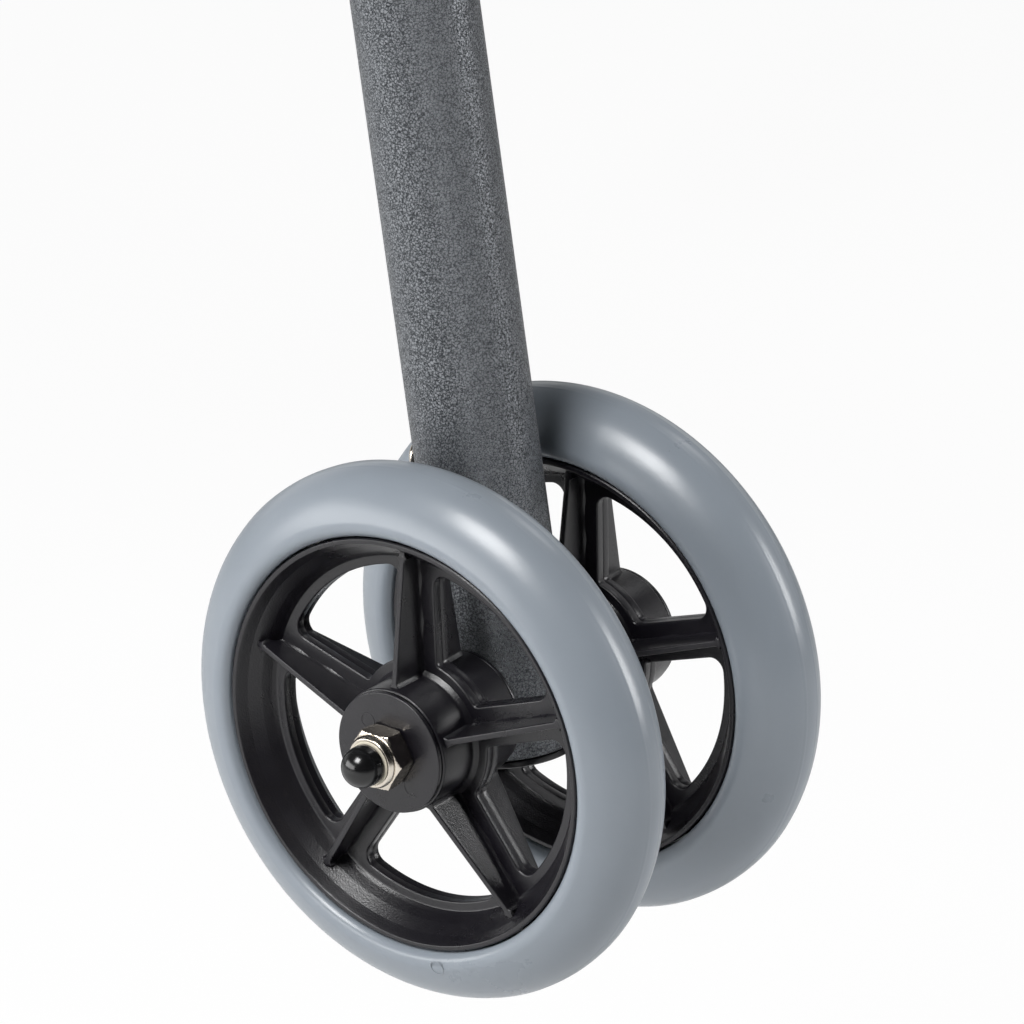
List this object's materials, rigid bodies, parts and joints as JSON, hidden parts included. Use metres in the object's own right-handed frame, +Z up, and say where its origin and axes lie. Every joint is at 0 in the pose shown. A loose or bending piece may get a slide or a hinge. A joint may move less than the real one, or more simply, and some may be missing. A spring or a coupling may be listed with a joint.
{
  "type": "walker",
  "caption": "Folding walking frame with twin fixed wheels on each front leg, rubber-tipped rear legs, hand grips and side frames that swing in.",
  "frame": {"origin": "on the floor, under the middle of the whole walker at rest", "axes": "+X to the walker's front, +Y to its left, +Z up"},
  "size_m": [0.5346, 0.7208, 0.836],
  "materials": {
    "hammertone": "grey hammertone powder coat on steel tube",
    "grey_tyre": "soft satin light blue-grey polyurethane",
    "black_nylon": "black glass-filled nylon with a fine spark texture",
    "cap_gloss": "glossy black plastic",
    "zinc": "bright zinc-nickel plated steel",
    "grip_rubber": "matt black ribbed vinyl",
    "tip_rubber": "matt grey rubber",
    "red_button": "satin red plastic"
  },
  "bodies": {
    "front_brace": {"upper_cross_tube": "hammertone", "lower_cross_tube": "hammertone", "left_lower_fold_bracket": "black_nylon", "left_upper_fold_bracket": "black_nylon", "left_release_housing": "black_nylon", "right_lower_fold_bracket": "black_nylon", "right_upper_fold_bracket": "black_nylon", "right_release_housing": "black_nylon"},
    "left_release_button": {"left_release_button": "red_button"},
    "left_lock_bolt": {"left_lock_bolt": "zinc"},
    "left_side": {"left_side_tube": "hammertone", "left_lower_side_brace": "hammertone", "left_upper_side_brace": "hammertone", "left_hand_grip": "grip_rubber", "left_catch_collar": "zinc"},
    "left_front_leg": {"left_front_leg_tube": "hammertone", "left_axle_block": "black_nylon", "left_axle_rivet": "zinc", "left_axle_bolt": "zinc", "left_lock_nut": "zinc", "left_dust_cap": "cap_gloss", "left_outer_leg_washer": "black_nylon", "left_inner_leg_washer": "black_nylon"},
    "left_rear_leg": {"left_rear_leg_tube": "hammertone", "left_rear_tip": "tip_rubber"},
    "left_outer_wheel": {"left_outer_rim": "black_nylon", "left_outer_tyre": "grey_tyre", "left_outer_hub_disc": "black_nylon"},
    "left_inner_wheel": {"left_inner_rim": "black_nylon", "left_inner_tyre": "grey_tyre", "left_inner_hub_disc": "black_nylon"},
    "left_front_snap": {"left_front_snap_button": "zinc"},
    "left_rear_snap": {"left_rear_snap_button": "zinc"},
    "right_release_button": {"right_release_button": "red_button"},
    "right_lock_bolt": {"right_lock_bolt": "zinc"},
    "right_side": {"right_side_tube": "hammertone", "right_lower_side_brace": "hammertone", "right_upper_side_brace": "hammertone", "right_hand_grip": "grip_rubber", "right_catch_collar": "zinc"},
    "right_front_leg": {"right_front_leg_tube": "hammertone", "right_axle_block": "black_nylon", "right_axle_rivet": "zinc", "right_axle_bolt": "zinc", "right_lock_nut": "zinc", "right_dust_cap": "cap_gloss", "right_outer_leg_washer": "black_nylon", "right_inner_leg_washer": "black_nylon"},
    "right_rear_leg": {"right_rear_leg_tube": "hammertone", "right_rear_tip": "tip_rubber"},
    "right_outer_wheel": {"right_outer_rim": "black_nylon", "right_outer_tyre": "grey_tyre", "right_outer_hub_disc": "black_nylon"},
    "right_inner_wheel": {"right_inner_rim": "black_nylon", "right_inner_tyre": "grey_tyre", "right_inner_hub_disc": "black_nylon"},
    "right_front_snap": {"right_front_snap_button": "zinc"},
    "right_rear_snap": {"right_rear_snap_button": "zinc"}
  },
  "joints": [
    {"name": "left_fold", "type": "hinge", "parent": "front_brace", "child": "left_side", "pos_m": [0.20375, 0.3, 0.0635], "axis": [-0.1633, 0, 0.9866], "range_deg": [0, 88]},
    {"name": "left_release_press", "type": "slide", "parent": "front_brace", "child": "left_release_button", "axis": [0.1633, 0, -0.9866], "range_m": [0, 0.009], "stiffness_N_per_m": 350, "springref_m": -0.002},
    {"name": "left_lock_bolt_slide", "type": "slide", "parent": "front_brace", "child": "left_lock_bolt", "axis": [0, -1, 0], "range_m": [0, 0.009]},
    {"name": "left_front_height", "type": "slide", "parent": "left_side", "child": "left_front_leg", "axis": [0.1633, 0, -0.9866], "range_m": [0, 0.1524]},
    {"name": "left_rear_height", "type": "slide", "parent": "left_side", "child": "left_rear_leg", "axis": [-0.068, 0, -0.9977], "range_m": [0, 0.1524]},
    {"name": "left_front_snap_press", "type": "slide", "parent": "left_front_leg", "child": "left_front_snap", "axis": [0, -1, 0], "range_m": [0, 0.004], "stiffness_N_per_m": 500, "springref_m": -0.001},
    {"name": "left_rear_snap_press", "type": "slide", "parent": "left_rear_leg", "child": "left_rear_snap", "axis": [0, -1, 0], "range_m": [0, 0.004], "stiffness_N_per_m": 500, "springref_m": -0.001},
    {"name": "left_outer_wheel_spin", "type": "hinge", "parent": "left_front_leg", "child": "left_outer_wheel", "pos_m": [0.20375, 0.3, 0.0635], "axis": [0, 1, 0], "continuous": true},
    {"name": "left_inner_wheel_spin", "type": "hinge", "parent": "left_front_leg", "child": "left_inner_wheel", "pos_m": [0.20375, 0.3, 0.0635], "axis": [0, 1, 0], "continuous": true},
    {"name": "right_fold", "type": "hinge", "parent": "front_brace", "child": "right_side", "pos_m": [0.20375, -0.3, 0.0635], "axis": [0.1633, 0, -0.9866], "range_deg": [0, 72]},
    {"name": "right_release_press", "type": "slide", "parent": "front_brace", "child": "right_release_button", "axis": [0.1633, 0, -0.9866], "range_m": [0, 0.009], "stiffness_N_per_m": 350, "springref_m": -0.002},
    {"name": "right_lock_bolt_slide", "type": "slide", "parent": "front_brace", "child": "right_lock_bolt", "axis": [0, 1, 0], "range_m": [0, 0.009]},
    {"name": "right_front_height", "type": "slide", "parent": "right_side", "child": "right_front_leg", "axis": [0.1633, 0, -0.9866], "range_m": [0, 0.1524]},
    {"name": "right_rear_height", "type": "slide", "parent": "right_side", "child": "right_rear_leg", "axis": [-0.068, 0, -0.9977], "range_m": [0, 0.1524]},
    {"name": "right_front_snap_press", "type": "slide", "parent": "right_front_leg", "child": "right_front_snap", "axis": [0, 1, 0], "range_m": [0, 0.004], "stiffness_N_per_m": 500, "springref_m": -0.001},
    {"name": "right_rear_snap_press", "type": "slide", "parent": "right_rear_leg", "child": "right_rear_snap", "axis": [0, 1, 0], "range_m": [0, 0.004], "stiffness_N_per_m": 500, "springref_m": -0.001},
    {"name": "right_outer_wheel_spin", "type": "hinge", "parent": "right_front_leg", "child": "right_outer_wheel", "pos_m": [0.20375, -0.3, 0.0635], "axis": [0, 1, 0], "continuous": true},
    {"name": "right_inner_wheel_spin", "type": "hinge", "parent": "right_front_leg", "child": "right_inner_wheel", "pos_m": [0.20375, -0.3, 0.0635], "axis": [0, 1, 0], "continuous": true}
  ],
  "couplings": [
    {"joint": "left_lock_bolt_slide", "follows": "left_release_press", "ratio": 1},
    {"joint": "right_lock_bolt_slide", "follows": "right_release_press", "ratio": 1}
  ]
}
